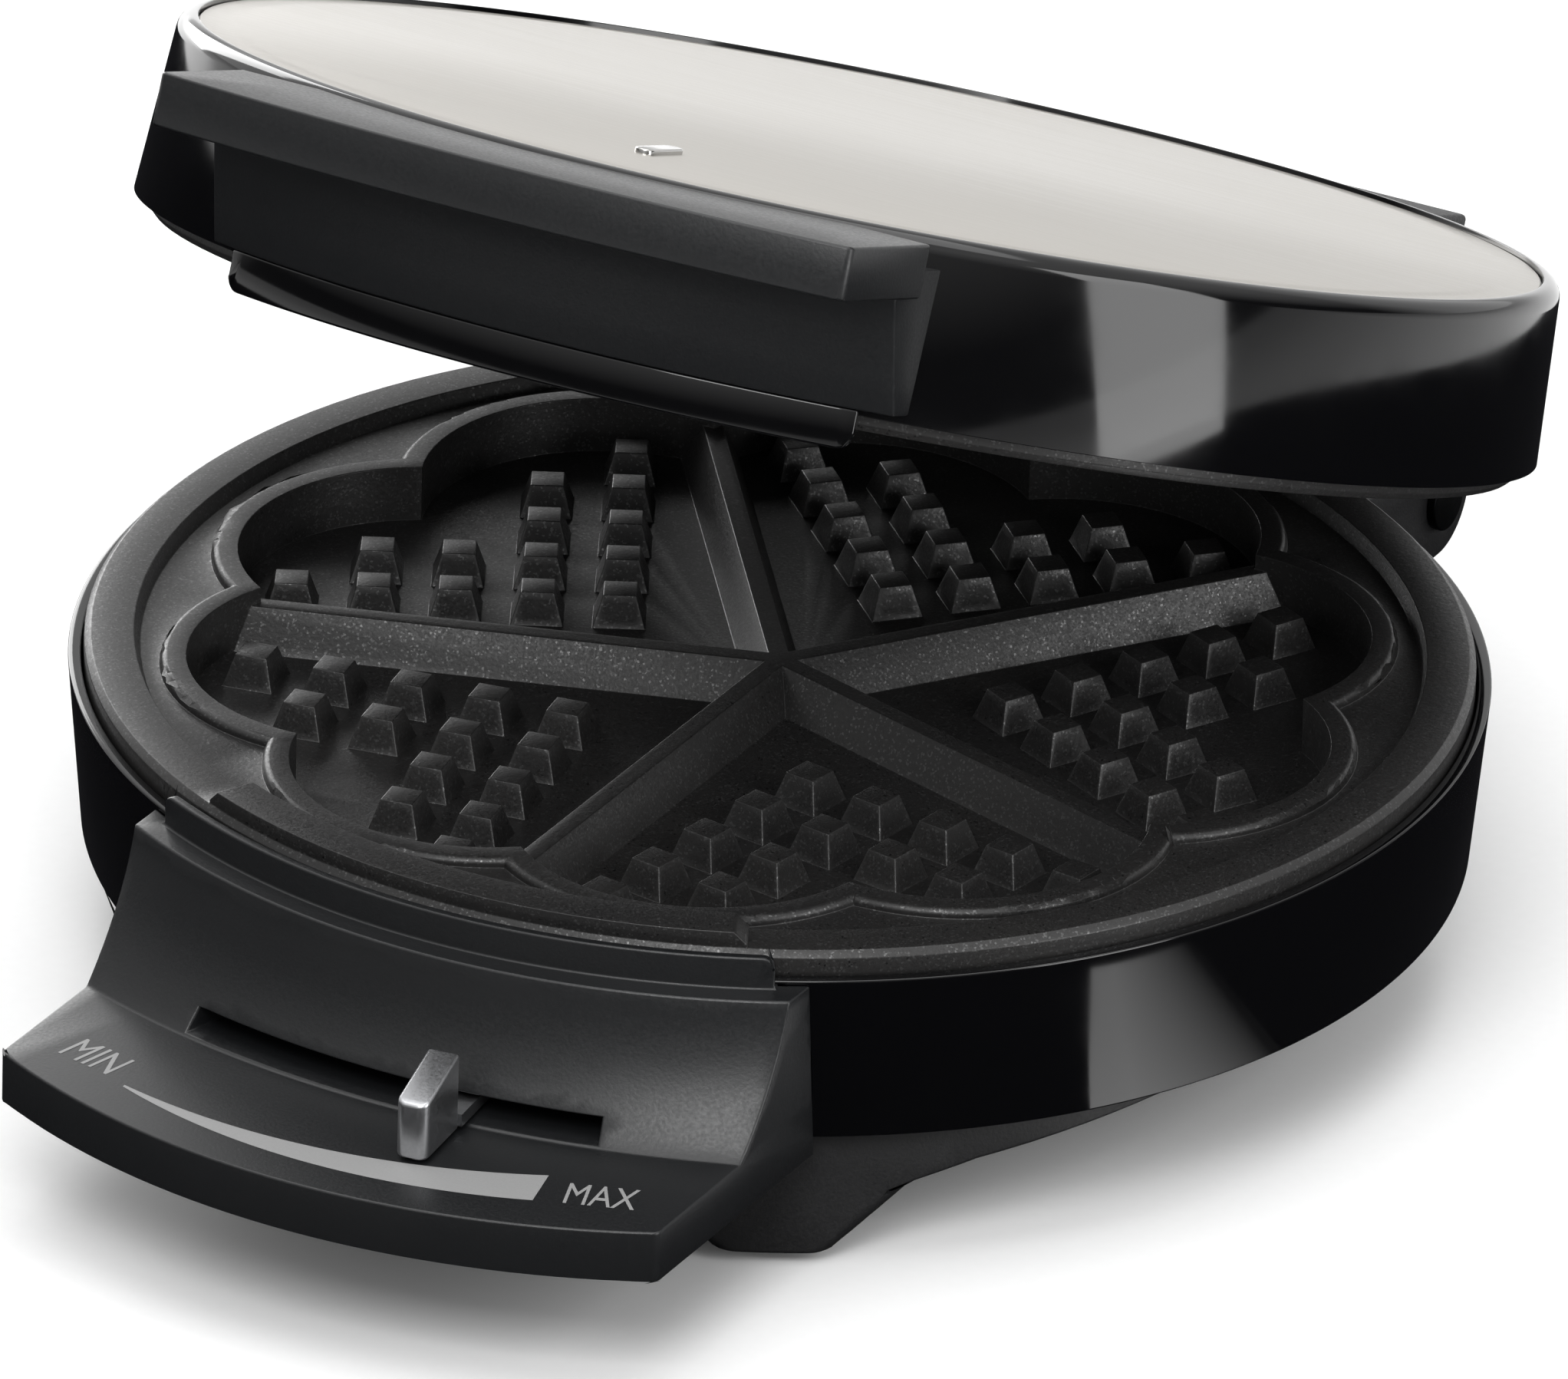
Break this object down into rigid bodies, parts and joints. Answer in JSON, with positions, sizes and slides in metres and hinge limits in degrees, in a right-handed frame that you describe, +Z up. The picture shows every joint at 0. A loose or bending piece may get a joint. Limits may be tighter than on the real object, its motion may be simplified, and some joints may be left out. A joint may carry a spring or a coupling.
{
  "type": "waffle maker",
  "caption": "Round tabletop waffle maker with a hinged lid, heart-shaped baking plates, front handles and a sliding temperature lever.",
  "frame": {"origin": "on the floor, at the centre of the footprint of the half-open waffle maker", "axes": "+Z up, -Y towards the handles, +Y towards the hinge, +X to the right as seen from the handles"},
  "size_m": [0.2152, 0.291, 0.1703],
  "materials": {
    "gloss_black": "high gloss moulded plastic",
    "satin_black": "satin moulded plastic",
    "matte_black": "matt moulded plastic",
    "non_stick": "cast aluminium with dark non-stick coating",
    "steel_panel": "satin stainless sheet",
    "steel": "plain steel",
    "shield": "pressed aluminium sheet",
    "silver": "satin silver lacquer on plastic",
    "lens": "polished chrome-look lens",
    "lamp": "clear neon lamp",
    "ceramic": "pale moulded insulator",
    "rubber": "soft rubber"
  },
  "bodies": {
    "base": {"base_shell": "gloss_black", "base_handle": "satin_black", "base_handle_screws": "steel", "bottom_cover": "matte_black", "rubber_feet": "rubber", "assembly_screws": "steel", "lower_baking_plate": "non_stick", "lower_heating_element": "steel", "lower_heat_shield": "shield", "thermostat": "ceramic", "thermal_fuse": "ceramic", "terminal_block": "ceramic", "heater_leads": "rubber", "cord_gland": "rubber", "base_hinge_ears": "matte_black", "hinge_pins": "steel"},
    "temperature_control": {"thermostat_spindle": "steel", "temperature_lever": "steel", "temperature_knob": "silver"},
    "lid": {"lid_shell": "gloss_black", "lid_top_panel": "steel_panel", "upper_baking_plate": "non_stick", "upper_heating_element": "steel", "upper_heat_shield": "shield", "lid_handle": "satin_black", "lid_handle_screws": "steel", "lid_handle_skirt": "gloss_black", "lid_plate_screws": "steel", "lid_hinge_block": "matte_black", "hinge_block_screws": "steel", "pilot_lens": "lens", "pilot_lamp": "lamp", "lamp_holder": "ceramic"}
  },
  "joints": [
    {"name": "lid_hinge", "type": "hinge", "parent": "base", "child": "lid", "pos_m": [0, 0.13091, 0.0367], "axis": [-1, 0, 0], "range_deg": [-20.75, 74]},
    {"name": "temperature_slide", "type": "hinge", "parent": "base", "child": "temperature_control", "pos_m": [0, 0.00591, 0.0285], "axis": [0, 0, 1], "range_deg": [-20, 8.6]}
  ]
}
